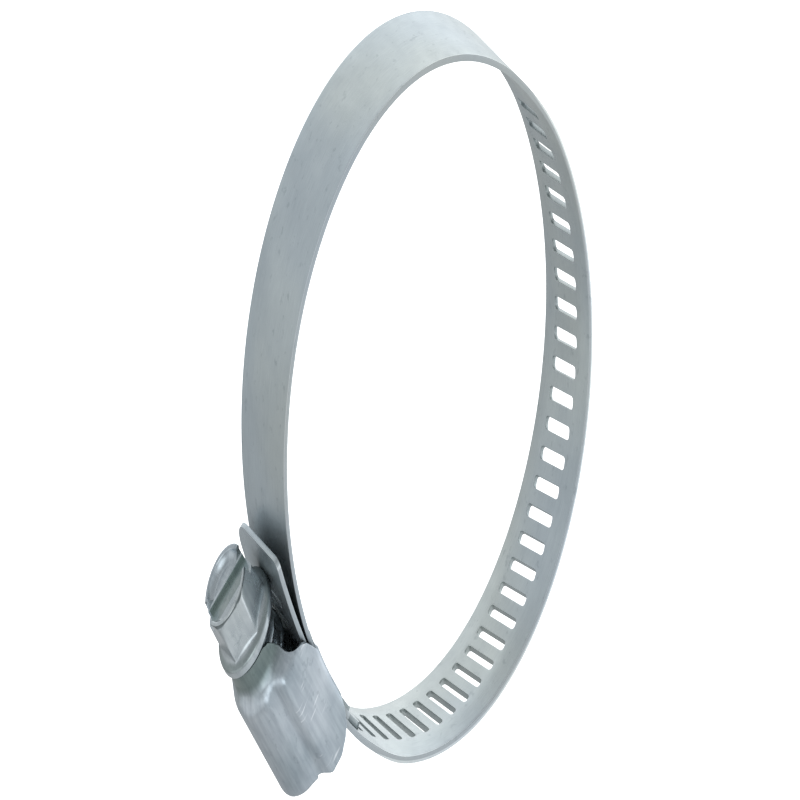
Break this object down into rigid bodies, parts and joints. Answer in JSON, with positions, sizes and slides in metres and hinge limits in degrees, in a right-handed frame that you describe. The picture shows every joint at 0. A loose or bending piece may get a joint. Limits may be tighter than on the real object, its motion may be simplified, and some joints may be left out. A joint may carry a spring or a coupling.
{
  "type": "worm-drive hose clamp",
  "caption": "Steel hose clamp: a slotted band loop tightened by a captive worm screw with a slotted hexagon head.",
  "frame": {"origin": "centre of the hose bore, half way across the band", "axes": "+Y along the bore, +Z parallel to the screw and towards its head, housing on the -X side"},
  "size_m": [0.0672, 0.0144, 0.0576],
  "materials": {
    "band": "bright zinc plate on steel strip",
    "housing": "zinc plate on pressed sheet",
    "screw": "zinc plate on cold-headed steel"
  },
  "bodies": {
    "clamp": {"band": "band", "saddle": "band", "housing": "housing"},
    "screw": {"screw": "screw"},
    "tail": {"band_tail": "band"}
  },
  "joints": [
    {"name": "screw_turn", "type": "hinge", "parent": "clamp", "child": "screw", "pos_m": [-0.03295, 0, 0], "axis": [0, 0, -1], "range_deg": [0, 1080]},
    {"name": "band_feed", "type": "hinge", "parent": "clamp", "child": "tail", "pos_m": [0.02603, 0, 0], "axis": [0, 1, 0], "range_deg": [0, 7.9]}
  ],
  "couplings": [
    {"joint": "band_feed", "follows": "screw_turn", "ratio": 0.0073101}
  ]
}
